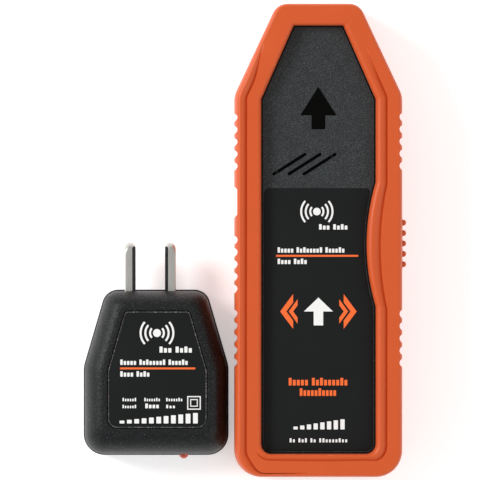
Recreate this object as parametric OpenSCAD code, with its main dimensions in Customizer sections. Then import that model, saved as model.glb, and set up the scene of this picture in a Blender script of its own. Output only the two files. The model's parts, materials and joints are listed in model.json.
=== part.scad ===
// Circuit breaker finder: a hand-held receiver in a rubber boot, and a plug-in transmitter.
// Both units lie on their backs. +Z points out of their front faces, +Y towards the receiver's nose.
// The origin is at the middle of the resting plane. All sizes are in millimetres.

/* [Receiver] */
// Width of the receiver over the rubber boot, without the side button
receiver_w = 53.3; // [52:0.1:58]
// Length of the receiver over the rubber boot
receiver_l = 150; // [148:0.5:156]
// Thickness of the receiver over the rubber boot
receiver_t = 29.5; // [29:0.1:31]
// Rubber thickness at the sides of the case
boot_wall = 3.2; // [3:0.1:3.6]
// Depth of the front panel below the boot's rim
panel_depth = 4.6; // [4:0.1:5]
// Half width of the front panel
panel_half_w = 18.1; // [17.8:0.1:19]
// How far the boot swells into the panel beside the button
swell = 2.85; // [2:0.05:3.2]
// Pitch of the grip notches
notch_pitch = 3.87; // [3.6:0.01:4]
// Depth of the grip notches
notch_depth = 1.05; // [0.5:0.05:1.1]
// How far the ribs of the side button stand out of the boot
button_proud = 1.3; // [1:0.1:1.6]

/* [Transmitter] */
// Width of the transmitter's rear shell
transmitter_w = 46; // [44:0.5:48]
// Length of the transmitter's shells, without the blades
transmitter_l = 52.5; // [52:0.5:56]
// Thickness of the transmitter
transmitter_t = 26; // [25:0.5:28]
// Distance between the centres of the two blades
blade_pitch = 12.7; // [12.7:0.1:13.6]
// Thickness of a blade, with the inlay in its inner face
blade_t = 3.5; // [1.5:0.1:3.6]
// Width of a blade
blade_w = 6.35; // [6.2:0.05:6.6]
// Length of a blade outside the shells
blade_l = 15; // [14.8:0.1:18.2]

/* [Layout] */
// Gap between the transmitter and the receiver
unit_gap = 1.8; // [1:0.1:10]
// Distance from the receiver's tail to the transmitter's tail, along Y
transmitter_offset = 6.8; // [0:0.1:30]

/* [Hidden] */
$fn = 32;
eps = 0.1;        // how far a cutting tool runs past what it cuts
clear = 0.1;      // gap between pieces that touch

// Places of the two units. The whole object's box is centred on X = 0.
total_w = transmitter_w + unit_gap + receiver_w + button_proud;
transmitter_x = -total_w / 2 + transmitter_w / 2;
receiver_x = total_w / 2 - button_proud - receiver_w / 2;
transmitter_y = -receiver_l / 2 + transmitter_offset + transmitter_l / 2;

// Receiver levels and derived sizes
half_w = receiver_w / 2;
half_l = receiver_l / 2;
boot_back = 1.5;                              // thickness of the boot's lip on the back
case_back = boot_back;                        // outer face of the rear case
case_front = receiver_t - panel_depth;        // outer face of the front case
case_wall = 2;
case_split = 12;                              // parting plane of the two cases
boot_lip = 2;                                 // how far the boot's back lip covers the case
shoulder_y = 45.9;                            // where the sides turn in to the nose
nose_half_w = 13;
nose_r = 5;
shoulder_r = 8.5;
tail_r = 8.5;

// Front panel, the part of the front case that the boot leaves open
panel_nose_half_w = 7.8;
panel_nose_y = 67.9;
panel_shoulder_y = 44.6;
panel_tail_y = -67.5;
panel_tail_r = 3.2;
swell_y = -1.3;                               // middle of the swelling
swell_l = 39.3;                               // length of the swelling
swell_r = (pow(swell_l / 2, 2) + pow(swell, 2)) / (2 * swell);
swell_steps = 12;
panel_groove = [0.5, 1.2];                    // width and depth of the gap round the panel

// Label on the front panel
label_inset = 0.9;
label_top_y = 16.4;
label_t = 0.4;
label_sink = 0.2;
label_r = 1.9;

// Arrow window, measured from the panel's centre line
arrow_tip_y = 48.6;
arrow_head_y = 39.5;
arrow_stem_y = 35.1;
arrow_half_w = 5.8;
arrow_stem_half_w = 2.2;
arrow_flange = 0.8;

// Sound slots
slot_x = -4.4;
slot_y = 24.1;
slot_pitch = 4.75;
slot_run = [9.8, 6.2];                        // along X and Y, between the ends of a slot
slot_r = 0.5;

// Grip notches: the middle of each group of five, along Y
notch_r = 1.35;
notch_groups_left = [31.2, -7.7, -31.1];
notch_groups_right = [31.2, -31.1];
notches = 5;
thumb_flat = [7.1, 17.1];                     // the flat relief on the left side, from and to
thumb_depth = 0.95;

// Side button
button_y = -1;
button_z = 13;
button_l = 17.2;
button_h = 10;
button_gap = 0.25;
button_ribs = 5;
button_rib_pitch = 3.3;
button_rib_r = 0.95;
button_face_proud = 0.1;                      // how far the face between the ribs stands out
button_flange = 1;
button_flange_t = 0.6;
flange_x = half_w - boot_wall + 0.95;         // inner face of the button
button_travel = 0.8;
plunger_half = [2.5, 2];                      // half sizes of the plunger, along Y and Z
switch_x = 16.2;                              // outer face of the switch's body
switch_size = [6, 6, 4];

// Circuit board of the receiver
board_z = 8.6;
board_t = 1.6;
board_top = board_z + board_t;
board_screw_places = [[-15, -10.6], [15, -10.6], [0, 61]];
board_screw_r = 1;
board_tail_y = -13.2;
board_nose_y = 64.5;
actuator_r = 1.2;
actuator_in = 1.4;                            // how much of the actuator is inside the switch
actuator_l = 2;
actuator_z = board_top + switch_size[2] / 2;

// Pick-up coil and sounder
pickup_y = 53.6;
pickup_l = 16;
pickup_r = 3.9;
pickup_core_r = 2;
pickup_z = board_top + pickup_r + clear;
sounder_r = 9.6;
sounder_h = 5.2;
sounder_y = 23.9;
sounder_z = case_front - case_wall - sounder_h;

// Battery and its door
battery_size = [26.5, 46.4, 17.5];
battery_tail_y = -67.6;
battery_top_y = battery_tail_y + battery_size[1];
battery_z = case_back + case_wall + 0.8;
terminal_x = 6.35;
terminal_l = 2.1;
bay_wall = 1.8;
bay_gap = 0.3;
door_half_w = 14.2;
door_top_y = -17;
door_gap = 0.3;
door_tongue_w = 0.9;                          // how far a side tongue stands out of the door
door_tongue_z = [case_back + 0.7, case_back + 1.3];
door_ridges = 5;

// Case screws of the receiver
case_screw_places = [[-18.2, -56], [18.2, -56], [-18.2, 39], [18.2, 39]];
case_boss_r = 3;
case_head_r = 2.2;
case_shank_r = 1.2;
case_head_z = 4.4;                            // level of the seat below the screw's head

// Transmitter levels and sizes
shell_split = 13;
shell_wall = 1.8;
shell_step = 0.4;                             // how far the rear shell stands out round the front shell
shoulder_from_tail = 28.2;
shell_nose_half_w = 15.9;
shell_tail_r = 6.6;
shell_nose_r = 5;
shell_shoulder_r = 9;
face_depth = 0.9;
front_label_t = 0.4;
front_label_gap = 0.2;
face_x = 0.5;                                 // how far the label's recess stands off the middle
tail_y = transmitter_y - transmitter_l / 2;
blade_z = shell_split;
blade_x = -1.85;                              // how far the pair of blades stands off the middle
blade_root = 11;                              // length of a blade inside the shells
blade_tip_r = 2.6;                            // rounding of the tip, seen from the side
blade_top_r = 1.7;                            // rounding of the tip, seen from above
blade_hole_r = 1.6;
holder_size = [23, 7.8, 9.2];
holder_from_nose = 6.5;
blade_hole_from_tip = 3.2;
inlay_t = 1.1;                                // thickness of the dark inlay
inlay_ends = [-2.5, 1.1];                     // its ends: from the nose, and from the tip
led_x = 8.8;
led_r = 1.5;
led_proud = 1.2;
tx_board_z = 6.2;
tx_board_t = 1.6;
tx_board_top = tx_board_z + tx_board_t;
tx_screw_places = [[-17, 10], [17, 10], [0, 46.4]];  // from the middle of the tail
tx_boss_r = 2.8;
tx_head_r = 2;
tx_shank_r = 1.1;
tx_head_z = 3.4;

// ---- Outlines. A corner is [x, y, radius]; corners run anticlockwise. ----

function unit(v) = v / norm(v);
function xy(c) = [c[0], c[1]];
function left_of(v) = [-v[1], v[0]];

// The points of one rounded corner, between its neighbours
function corner_points(a, c, b, r, steps) =
    r <= 0 ? [c] :
    let (
        u = unit(a - c), v = unit(b - c),
        half = acos(max(-1, min(1, u * v))) / 2,
        middle = c + unit(u + v) * r / sin(half),
        from = c + u * r / tan(half) - middle,
        turn = 180 - 2 * half,
        side = sign(u[1] * v[0] - u[0] * v[1])
    )
    [for (i = [0:steps])
        let (t = side * turn * i / steps)
        middle + [from[0] * cos(t) - from[1] * sin(t), from[0] * sin(t) + from[1] * cos(t)]];

function outline(corners, steps = 8) =
    let (n = len(corners))
    [for (i = [0:n - 1])
        each corner_points(xy(corners[(i + n - 1) % n]), xy(corners[i]), xy(corners[(i + 1) % n]),
                           corners[i][2], steps)];

// The same corners moved inwards by d, or outwards where d is negative
function inset(corners, d) =
    let (n = len(corners))
    [for (i = [0:n - 1])
        let (
            a = xy(corners[(i + n - 1) % n]), c = xy(corners[i]), b = xy(corners[(i + 1) % n]),
            m = left_of(unit(c - a)), k = left_of(unit(b - c)),
            p = c + (m + k) * d / (1 + m * k),
            r = corners[i][2]
        )
        [p[0], p[1], r <= 0 ? 0 : max(r - d, 0.3)]];

receiver_corners = [
    [half_w, -half_l, tail_r], [half_w, shoulder_y, shoulder_r], [nose_half_w, half_l, nose_r],
    [-nose_half_w, half_l, nose_r], [-half_w, shoulder_y, shoulder_r], [-half_w, -half_l, tail_r]
];
case_corners = inset(receiver_corners, boot_wall);

// Distance that the swelling stands into the panel at height y
function swell_at(y) =
    abs(y - swell_y) >= swell_l / 2 ? 0
    : sqrt(pow(swell_r, 2) - pow(y - swell_y, 2)) - (swell_r - swell);

function swell_corners(from, to, steps) =
    [for (i = [0:steps]) let (y = from + (to - from) * i / steps) [panel_half_w - swell_at(y), y, 0]];

panel_corners = concat(
    [[panel_half_w, panel_tail_y, panel_tail_r]],
    swell_corners(swell_y - swell_l / 2, swell_y + swell_l / 2, swell_steps),
    [[panel_half_w, panel_shoulder_y, 1], [panel_nose_half_w, panel_nose_y, 0.5],
     [-panel_nose_half_w, panel_nose_y, 0.5], [-panel_half_w, panel_shoulder_y, 1],
     [-panel_half_w, panel_tail_y, panel_tail_r]]
);
label_corners = concat(
    [[panel_half_w, panel_tail_y, panel_tail_r]],
    swell_corners(swell_y - swell_l / 2, label_top_y - 3, swell_steps),
    [[panel_half_w - swell_at(label_top_y), label_top_y + label_inset, label_r],
     [-panel_half_w, label_top_y + label_inset, label_r],
     [-panel_half_w, panel_tail_y, panel_tail_r]]
);
arrow_corners = [
    [0, arrow_tip_y, 0], [-arrow_half_w, arrow_head_y, 0], [-arrow_stem_half_w, arrow_head_y, 0],
    [-arrow_stem_half_w, arrow_stem_y, 0], [arrow_stem_half_w, arrow_stem_y, 0],
    [arrow_stem_half_w, arrow_head_y, 0], [arrow_half_w, arrow_head_y, 0]
];

shell_half_w = transmitter_w / 2;
shell_corners = [
    [shell_half_w, 0, shell_tail_r], [shell_half_w, shoulder_from_tail, shell_shoulder_r],
    [shell_nose_half_w, transmitter_l, shell_nose_r], [-shell_nose_half_w, transmitter_l, shell_nose_r],
    [-shell_half_w, shoulder_from_tail, shell_shoulder_r], [-shell_half_w, 0, shell_tail_r]
];
face_corners = [
    [15.9, 8.6, 3.2], [15.9, 27, 2], [10.4, 46, 1.6], [-10.4, 46, 1.6], [-15.9, 27, 2], [-15.9, 8.6, 3.2]
];

// ---- General shapes ----

module prism(corners, from, to, steps = 8) {
    translate([0, 0, from])
        linear_extrude(to - from)
            polygon(outline(corners, steps));
}

// A closed solid through rings [z, points], every ring with the same number of points
module loft(rings) {
    n = len(rings[0][1]);
    k = len(rings);
    middle = [for (r = [rings[0], rings[k - 1]])
        let (p = r[1]) [(max([for (q = p) q[0]]) + min([for (q = p) q[0]])) / 2,
                        (max([for (q = p) q[1]]) + min([for (q = p) q[1]])) / 2, r[0]]];
    points = concat([for (r = rings) each [for (p = r[1]) [p[0], p[1], r[0]]]], middle);
    sides = [for (j = [0:k - 2]) for (i = [0:n - 1])
        let (a = j * n + i, b = j * n + (i + 1) % n)
        each [[a, a + n, b + n], [a, b + n, b]]];
    bottom = [for (i = [0:n - 1]) [k * n, i, (i + 1) % n]];
    top = [for (i = [0:n - 1]) [k * n + 1, (k - 1) * n + (i + 1) % n, (k - 1) * n + i]];
    polyhedron(points = points, faces = concat(sides, bottom, top), convexity = 6);
}

// A loft whose rings are one set of corners at several [inset, z] steps
module rounded_block(corners, steps, arc = 8) {
    loft([for (s = steps) [s[1], outline(inset(corners, s[0]), arc)]]);
}

// A round wire through points, with 8 sides
module wire(points, r) {
    n = len(points);
    sides = 8;
    rings = [for (i = [0:n - 1])
        let (
            t = unit(points[min(i + 1, n - 1)] - points[max(i - 1, 0)]),
            u = unit(cross(t, abs(t[2]) > 0.9 ? [1, 0, 0] : [0, 0, 1])),
            v = cross(t, u)
        )
        for (s = [0:sides - 1])
            points[i] + r * (u * cos(360 * s / sides) + v * sin(360 * s / sides))];
    walls = [for (i = [0:n - 2]) for (s = [0:sides - 1])
        let (a = i * sides + s, b = i * sides + (s + 1) % sides)
        each [[a, a + sides, b + sides], [a, b + sides, b]]];
    first = [for (s = [1:sides - 2]) [0, s, s + 1]];
    last = [for (s = [1:sides - 2]) [(n - 1) * sides, (n - 1) * sides + s + 1, (n - 1) * sides + s]];
    polyhedron(points = rings, faces = concat(walls, first, last), convexity = 8);
}

// Points of a smooth run through guides, by quadratic pieces between their midpoints
function smooth(guides, steps = 5) =
    let (n = len(guides))
    concat([guides[0]],
        [for (i = [1:n - 2]) for (s = [1:steps])
            let (
                a = i == 1 ? guides[0] : (guides[i - 1] + guides[i]) / 2,
                b = guides[i],
                c = i == n - 2 ? guides[n - 1] : (guides[i] + guides[i + 1]) / 2,
                t = s / steps
            )
            a * pow(1 - t, 2) + b * 2 * t * (1 - t) + c * pow(t, 2)]);

// A cross-headed screw, head down at z = 0, shank upwards
module screw(head_r, head_h, shank_r, length) {
    recess = head_r * 0.28;
    difference() {
        union() {
            translate([0, 0, -head_h]) cylinder(r = head_r, h = head_h);
            translate([0, 0, -eps]) cylinder(r = shank_r, h = length - shank_r + eps);
            translate([0, 0, length - shank_r]) cylinder(r1 = shank_r, r2 = shank_r * 0.3, h = shank_r);
        }
        for (a = [0, 90])
            rotate([0, 0, a])
                translate([-head_r * 0.7, -recess / 2, -head_h - eps])
                    cube([head_r * 1.4, recess, head_h * 0.6 + eps]);
    }
}

// A chip body with two rows of legs, resting on z = 0
module chip(size, legs, pitch) {
    leg = [0.4, 0.2];
    union() {
        translate([-size[0] / 2, -size[1] / 2, 0.2]) cube([size[0], size[1], size[2]]);
        for (i = [0:legs - 1], side = [-1, 1])
            translate([side * (size[0] / 2 + 0.4) - 0.7, (i - (legs - 1) / 2) * pitch - leg[0] / 2, 0])
                cube([1.4, leg[0], 0.6]);
    }
}

module in_receiver() { translate([receiver_x, 0, 0]) children(); }
module in_transmitter() { translate([transmitter_x, tail_y, 0]) children(); }

// ---- Receiver: boot and cases ----

// Section of the boot's outside, as [inset, z] from the back to the front rim
boot_section = [
    [2.6, 0], [1.5, 0.6], [0.7, 1.7], [0.2, 3.4], [0, 5.5], [0, 17], [0.15, receiver_t - 8],
    [0.4, receiver_t - 4], [0.9, receiver_t - 1.8], [1.5, receiver_t - 0.8], [2.4, receiver_t - 0.2],
    [3.4, receiver_t]
];
// Section of the front opening, as [inset, z]; the insets are negative, because it widens outwards
opening_section = [
    [0, case_front - 2], [-0.05, case_front + 0.6], [-0.5, receiver_t - 2.6], [-0.95, receiver_t - 1.2],
    [-1.5, receiver_t - 0.4], [-2.3, receiver_t], [-2.7, receiver_t + eps]
];

module notch(side, y) {
    translate([side * (half_w + notch_r - notch_depth), y, -eps])
        cylinder(r = notch_r, h = receiver_t + 2 * eps);
}

module grip_notches() {
    for (i = [0:notches - 1]) {
        step = (i - (notches - 1) / 2) * notch_pitch;
        for (y = notch_groups_left) notch(-1, y + step);
        for (y = notch_groups_right) notch(1, y + step);
    }
}

module thumb_relief() {
    translate([-half_w, 0, -eps])
        linear_extrude(receiver_t + 2 * eps)
            polygon([[-1, thumb_flat[0] - thumb_depth], [0, thumb_flat[0]],
                     [thumb_depth, thumb_flat[0] + thumb_depth], [thumb_depth, thumb_flat[1] - thumb_depth],
                     [0, thumb_flat[1]], [-1, thumb_flat[1] + thumb_depth]]);
}

// The rounded opening that the button's pad moves in
module button_opening(gap, from, to) {
    r = 2.4 + gap;
    l = button_l + 2 * gap;
    h = button_h + 2 * gap;
    translate([from, button_y, button_z])
        rotate([90, 0, 90])
            linear_extrude(to - from)
                polygon(outline([[l / 2, -h / 2, r], [l / 2, h / 2, r], [-l / 2, h / 2, r],
                                 [-l / 2, -h / 2, r]]));
}

module receiver_boot() {
    color("#e4622f")
        in_receiver()
            difference() {
                rounded_block(receiver_corners, boot_section);
                prism(inset(case_corners, -clear), case_back, case_front + clear);
                prism(inset(case_corners, boot_lip), -eps, case_back + eps);
                rounded_block(panel_corners, opening_section, 5);
                grip_notches();
                thumb_relief();
                button_opening(button_gap, half_w - boot_wall - 1, half_w + 2);
                button_opening(button_flange + button_gap, half_w - boot_wall - 1,
                    flange_x + button_flange_t + clear);
                translate([-door_half_w - 2, -half_l - eps, -eps])
                    cube([2 * (door_half_w + 2), boot_wall + 2 * eps, case_back + case_wall + 0.6]);
            }
}

// The gap that parts the raised panel from the boot
module panel_gap() {
    difference() {
        prism(inset(panel_corners, -0.6), case_front - panel_groove[1], case_front + eps, 5);
        prism(inset(panel_corners, panel_groove[0]), case_front - panel_groove[1] - eps,
              case_front + 2 * eps, 5);
    }
}

module case_bosses(from, to) {
    for (p = case_screw_places)
        translate([p[0], p[1], from]) cylinder(r = case_boss_r, h = to - from);
}

module case_bore(r, from, to) {
    for (p = case_screw_places)
        translate([p[0], p[1], from]) cylinder(r = r, h = to - from);
}

module sound_slots() {
    for (i = [-1:1])
        translate([slot_x + i * slot_pitch, slot_y, case_front - case_wall - eps])
            rotate([0, 0, atan2(slot_run[1], slot_run[0])]) {
                run = norm(slot_run);
                translate([-run / 2, -slot_r, 0]) cube([run, 2 * slot_r, case_wall + 2 * eps]);
                for (end = [-1, 1])
                    translate([end * run / 2, 0, 0]) cylinder(r = slot_r, h = case_wall + 2 * eps);
            }
}

// The passage for the button's plunger through the side of the cases
module plunger_passage(gap) {
    translate([half_w - boot_wall - case_wall - 1, button_y - plunger_half[0] - gap,
               button_z - plunger_half[1] - gap])
        cube([case_wall + 2, 2 * (plunger_half[0] + gap), 2 * (plunger_half[1] + gap)]);
}

module receiver_front_case() {
    color("#34383a")
        in_receiver()
            difference() {
                union() {
                    difference() {
                        prism(case_corners, case_split, case_front);
                        prism(inset(case_corners, case_wall), case_split - eps, case_front - case_wall);
                    }
                    case_bosses(case_split + clear, case_front - case_wall + eps);
                    for (p = board_screw_places)
                        translate([p[0], p[1], board_top]) cylinder(r = 2,
                            h = case_front - case_wall - board_top + eps);
                }
                case_bore(case_shank_r + 0.05, case_split - 1, case_front - case_wall - 1);
                for (p = board_screw_places)
                    translate([p[0], p[1], board_top - eps]) cylinder(r = board_screw_r + 0.05, h = 8);
                prism(inset(label_corners, label_inset - clear), case_front - label_sink, case_front + eps);
                prism(arrow_corners, case_front - case_wall - eps, case_front + eps, 1);
                panel_gap();
                sound_slots();
                plunger_passage(0.4);
            }
}

module bay_walls() {
    in_x = battery_size[0] / 2 + bay_gap;
    top = battery_top_y + terminal_l + 3.6;
    for (side = [-1, 1])
        translate([side > 0 ? in_x : -in_x - bay_wall, battery_tail_y - 1, case_back])
            cube([bay_wall, top - battery_tail_y + 1, case_split - case_back - clear]);
    translate([-in_x - bay_wall, top, case_back])
        cube([2 * (in_x + bay_wall), bay_wall, board_z - case_back - 1]);
}

// The room that the door slides in, open at the tail
module door_space(space_half_w, from, to) {
    translate([-space_half_w, -half_l, from])
        cube([2 * space_half_w, door_top_y + door_gap + half_l, to - from]);
}

module receiver_rear_case() {
    color("#26292b")
        in_receiver()
            difference() {
                union() {
                    difference() {
                        prism(case_corners, case_back, case_split - clear);
                        prism(inset(case_corners, case_wall), case_back + case_wall, case_split + eps);
                    }
                    case_bosses(case_back, case_split - clear);
                    bay_walls();
                }
                case_bore(case_head_r + 0.2, case_back - eps, case_head_z);
                case_bore(case_shank_r + 0.15, case_back, case_split + eps);
                door_space(door_half_w + door_gap, case_back - eps, case_back + case_wall + eps);
                door_space(door_half_w + door_tongue_w + door_gap, door_tongue_z[0] - 0.2,
                    door_tongue_z[1] + 0.2);
                plunger_passage(0.4);
            }
}

module receiver_label() {
    color("#1c1e1f")
        in_receiver()
            prism(inset(label_corners, label_inset), case_front - label_sink,
                case_front - label_sink + label_t);
}

module arrow_window() {
    top = case_front - 0.3;
    seat = case_front - case_wall;
    color("#0a0c0b")
        in_receiver() {
            prism(inset(arrow_corners, clear / 2), seat - eps, top, 1);
            translate([-arrow_half_w - arrow_flange, arrow_stem_y - arrow_flange, seat - 1])
                cube([2 * (arrow_half_w + arrow_flange), arrow_tip_y - arrow_stem_y + 2 * arrow_flange, 1]);
        }
}

// ---- Receiver: side button and its switch ----

module power_button() {
    face_x = half_w + button_face_proud;
    rib_x = half_w + button_proud - button_rib_r;
    color("#e2632f")
        in_receiver() {
            button_opening(0, flange_x, face_x);
            button_opening(button_flange, flange_x, flange_x + button_flange_t);
            for (i = [0:button_ribs - 1])
                translate([rib_x, button_y + (i - (button_ribs - 1) / 2) * button_rib_pitch, button_z - 4])
                    cylinder(r = button_rib_r, h = 8);
        }
}

module button_plunger() {
    from = switch_x + actuator_l;
    color("#d8d4c8")
        in_receiver()
            translate([from, button_y - plunger_half[0], button_z - plunger_half[1]])
                cube([flange_x - from, 2 * plunger_half[0], 2 * plunger_half[1]]);
}

module tactile_switch() {
    color("#2a2c2e")
        in_receiver()
            difference() {
                translate([switch_x - switch_size[0], button_y - switch_size[1] / 2, board_top])
                    cube(switch_size);
                translate([switch_x - actuator_in - button_travel - 0.2, button_y, actuator_z])
                    rotate([0, 90, 0]) cylinder(r = actuator_r + 0.08, h = 10);
            }
}

module switch_actuator() {
    color("#b8332a")
        in_receiver()
            translate([switch_x - actuator_in, button_y, actuator_z])
                rotate([0, 90, 0]) cylinder(r = actuator_r, h = actuator_in + actuator_l);
}

// ---- Receiver: circuit board ----

module main_board() {
    color("#1f5a38")
        in_receiver()
            difference() {
                prism(inset(case_corners, case_wall + 0.8), board_z, board_top);
                translate([-half_w, -half_l, board_z - eps])
                    cube([receiver_w, board_tail_y + half_l, board_t + 2 * eps]);
                translate([-half_w, board_nose_y, board_z - eps])
                    cube([receiver_w, half_l - board_nose_y, board_t + 2 * eps]);
                case_bore(case_boss_r + 0.4, board_z - eps, board_top + eps);
                for (p = board_screw_places)
                    translate([p[0], p[1], board_z - eps]) cylinder(r = board_screw_r + 0.1,
                        h = board_t + 2 * eps);
            }
}

module on_board(x, y) {
    in_receiver()
        translate([x, y, board_top])
            children();
}

module microcontroller() {
    color("#17191a") on_board(2, 6) chip([7, 9, 1.6], 8, 1.0);
}

module signal_amplifier() {
    color("#1b1d1e") on_board(10, 44) chip([4, 5, 1.5], 4, 1.27);
}

// A light-emitting diode standing on its two legs
module standing_led(r, legs) {
    for (side = [-1, 1])
        translate([side * 1.27 - 0.25, -0.25, 0]) cube([0.5, 0.5, legs + eps]);
    translate([0, 0, legs]) cylinder(r = r + 0.4, h = 1);
    translate([0, 0, legs]) cylinder(r = r, h = 4);
    translate([0, 0, legs + 4]) sphere(r = r);
}

module arrow_leds() {
    color("#8fe08a")
        for (i = [0:2])
            on_board(0, arrow_stem_y + 2.2 + 4.4 * i) standing_led(1.5, 4);
}

module supply_capacitor() {
    color("#2a3550")
        on_board(-13, 4) {
            cylinder(r = 3.2, h = 8.6);
            cylinder(r = 3.5, h = 0.8);
        }
}

module clock_crystal() {
    color("#c4c6c6")
        on_board(-9, 13)
            linear_extrude(3.5)
                polygon(outline([[4.4, -1.8, 1.7], [4.4, 1.8, 1.7], [-4.4, 1.8, 1.7], [-4.4, -1.8, 1.7]]));
}

module board_resistors() {
    color("#24262a")
        for (i = [0:5])
            on_board(-11 + 3.6 * i, 33 - 2.2 * (i % 2)) translate([-1, -0.6, 0]) cube([2, 1.2, 0.6]);
}

module board_screws() {
    color("#a8a9aa")
        for (p = board_screw_places)
            in_receiver()
                translate([p[0], p[1], board_z]) screw(1.9, 1.3, board_screw_r, 6.5);
}

// ---- Receiver: pick-up coil and sounder ----

module pickup_core() {
    color("#3a3634")
        in_receiver()
            translate([-pickup_l / 2 - 2, pickup_y, pickup_z])
                rotate([0, 90, 0]) cylinder(r = pickup_core_r, h = pickup_l + 4);
}

module pickup_winding() {
    color("#b0622c")
        in_receiver()
            translate([-pickup_l / 2, pickup_y, pickup_z])
                rotate([0, 90, 0])
                    difference() {
                        cylinder(r = pickup_r, h = pickup_l);
                        translate([0, 0, -eps]) cylinder(r = pickup_core_r + 0.05, h = pickup_l + 2 * eps);
                    }
}

module sounder_case() {
    color("#1d1f20")
        in_receiver()
            translate([slot_x, sounder_y, sounder_z])
                difference() {
                    cylinder(r = sounder_r, h = sounder_h);
                    translate([0, 0, 0.8]) cylinder(r = sounder_r - 2, h = sounder_h);
                    translate([0, 0, sounder_h - 2.4]) cylinder(r = sounder_r - 1, h = sounder_h);
                    translate([0, 0, -eps]) cylinder(r = 1.2, h = 2);
                }
}

module sounder_disc() {
    color("#c8a24c")
        in_receiver()
            translate([slot_x, sounder_y, sounder_z + sounder_h - 2.4]) {
                cylinder(r = sounder_r - 1.1, h = 0.35);
                cylinder(r = sounder_r - 3.2, h = 0.6);
            }
}

// ---- Receiver: battery, leads, door and case screws ----

module battery_jacket() {
    half = battery_size[0] / 2;
    r = 2;
    color("#2f3436")
        in_receiver()
            translate([0, battery_top_y, battery_z])
                rotate([90, 0, 0])
                    linear_extrude(battery_size[1])
                        polygon(outline([[half, 0, r], [half, battery_size[2], r],
                                         [-half, battery_size[2], r], [-half, 0, r]]));
}

// One snap fastener pointing along +Y, a ring where its bore is more than 0
module snap_contact(r, bore, length) {
    rotate([-90, 0, 0])
        difference() {
            cylinder(r = r, h = length);
            if (bore > 0)
                translate([0, 0, length - 1.9]) cylinder(r = bore, h = length);
        }
}

module battery_terminals() {
    color("#c9cacb")
        in_receiver()
            for (side = [-1, 1])
                translate([side * terminal_x, battery_top_y, battery_z + battery_size[2] / 2])
                    snap_contact(side < 0 ? 2.7 : 4.2, side < 0 ? 0 : 2.9, terminal_l);
}

module battery_snap() {
    plate = [25, 2.6, 12.5];
    color("#202223")
        in_receiver()
            translate([0, battery_top_y + terminal_l + clear, battery_z + battery_size[2] / 2]) {
                translate([-plate[0] / 2, 0, -plate[2] / 2]) cube(plate);
                translate([-terminal_x, 0, 0]) mirror([0, 1, 0]) snap_contact(4.2, 2.9, 1.9);
                translate([terminal_x, 0, 0]) mirror([0, 1, 0]) snap_contact(2.7, 0, 1.5);
            }
}

// A lead from the battery snap down to the board
module battery_lead(side) {
    z = battery_z + battery_size[2] / 2;
    from_y = battery_top_y + terminal_l + 2.6 + 2.5 * clear;
    in_receiver()
        wire(smooth([[side * terminal_x, from_y, z], [side * terminal_x, from_y + 3.5, z + 0.5],
                     [side * 8.5, board_tail_y + 5, z + 0.5],
                     [side * 8.5, board_tail_y + 5, board_top + 1.5 * clear]]), 0.7);
}

module battery_lead_positive() { color("#b3261e") battery_lead(-1); }
module battery_lead_negative() { color("#161718") battery_lead(1); }

module battery_foam_pad() {
    color("#4a4c4e")
        in_receiver()
            translate([-10, battery_tail_y - 2, battery_z + 2])
                cube([20, 1.9, battery_size[2] - 4]);
}

module battery_door() {
    tail = -half_l + boot_wall;
    color("#282b2d")
        in_receiver()
            difference() {
                union() {
                    translate([-door_half_w, tail, case_back])
                        cube([2 * door_half_w, door_top_y - tail, case_wall]);
                    translate([-door_half_w - door_tongue_w, tail + 1, door_tongue_z[0]])
                        cube([2 * (door_half_w + door_tongue_w), door_top_y - tail - 2,
                              door_tongue_z[1] - door_tongue_z[0]]);
                }
                for (i = [0:door_ridges - 1])
                    translate([-7, -28 - i * 2.2, case_back])
                        rotate([0, 90, 0]) cylinder(r = 0.6, h = 14);
            }
}

module receiver_screws() {
    color("#b4b5b6")
        for (p = case_screw_places)
            in_receiver()
                translate([p[0], p[1], case_head_z]) screw(case_head_r, 1.8, case_shank_r, 14);
}

// ---- Transmitter ----

shell_back_section = [[2, 0], [0.9, 0.5], [0.3, 1.4], [0, 3], [0, shell_split - clear]];
shell_front_section = [
    [0, shell_split], [0, 16.5], [0.5, 19.5], [1.7, 22.5], [3.6, 24.8], [6, transmitter_t]
];

module tx_posts(from, to) {
    for (p = tx_screw_places)
        translate([p[0], p[1], from]) cylinder(r = tx_boss_r, h = to - from);
}

module tx_bore(r, from, to) {
    for (p = tx_screw_places)
        translate([p[0], p[1], from]) cylinder(r = r, h = to - from);
}

// The two slots for the blades, through the nose wall
module blade_slots(gap) {
    for (side = [-1, 1])
        translate([blade_x + side * blade_pitch / 2 - blade_t / 2 - gap, transmitter_l - 12,
                   blade_z - blade_w / 2 - gap])
            cube([blade_t + 2 * gap, 14, blade_w + 2 * gap]);
}

module led_bore(gap) {
    translate([led_x, -1, shell_split])
        rotate([-90, 0, 0]) cylinder(r = led_r + gap, h = 4);
}

module transmitter_front_shell() {
    front_corners = inset(shell_corners, shell_step);
    inner = inset(front_corners, shell_wall);
    color("#15181a")
        in_transmitter()
            difference() {
                union() {
                    difference() {
                        rounded_block(front_corners, shell_front_section);
                        rounded_block(inner, [[0, shell_split - eps], [0, 17], [1.2, 20.4], [4.6, 22.9]]);
                    }
                    intersection() {
                        tx_posts(shell_split, 23);
                        prism(inner, shell_split, 24);
                    }
                }
                translate([face_x, 0, 0])
                    prism(face_corners, transmitter_t - face_depth, transmitter_t + eps);
                tx_bore(tx_shank_r + 0.05, shell_split - eps, 21.5);
                blade_slots(0.1);
                led_bore(0.05);
            }
}

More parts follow.
